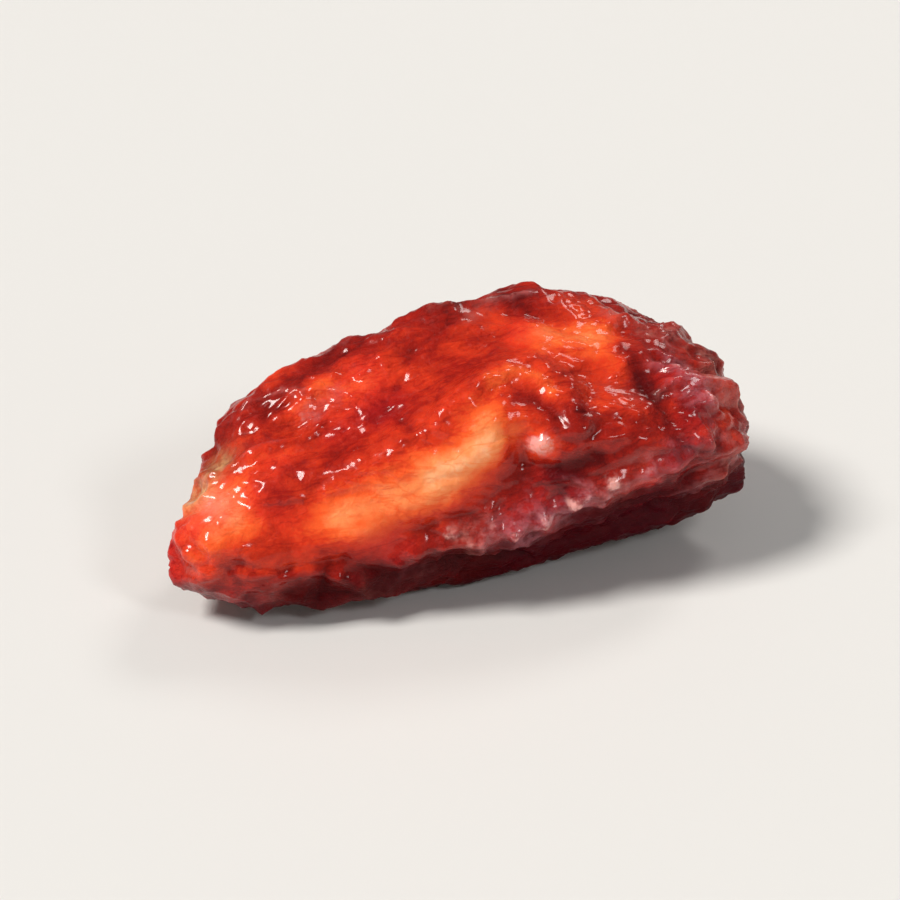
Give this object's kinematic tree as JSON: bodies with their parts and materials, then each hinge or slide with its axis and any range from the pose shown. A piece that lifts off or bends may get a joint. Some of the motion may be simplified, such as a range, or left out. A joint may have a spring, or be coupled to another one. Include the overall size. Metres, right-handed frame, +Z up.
{
  "type": "dried pomegranate seed",
  "caption": "Single dried pomegranate seed: a wrinkled, glossy orange-red aril dried on to its angular kernel, narrow at one end and blunt at the other, lying on a small flat spot.",
  "frame": {"origin": "on the surface that the seed lies on, under the middle of its box", "axes": "+X along the seed from its narrow end to its blunt end, +Y to the back, away from the long crest, +Z up, away from the flat spot that it rests on"},
  "size_m": [0.0082, 0.0042, 0.0034],
  "materials": {
    "dried_pulp": "glossy, semi-translucent dried pulp, orange-red with a golden-tan crest where the kernel shows through, deep red hollows and maroon, purple-grey wrinkled film at the edges"
  },
  "bodies": {
    "root": {"pomegranate_seed": "dried_pulp"}
  },
  "joints": []
}
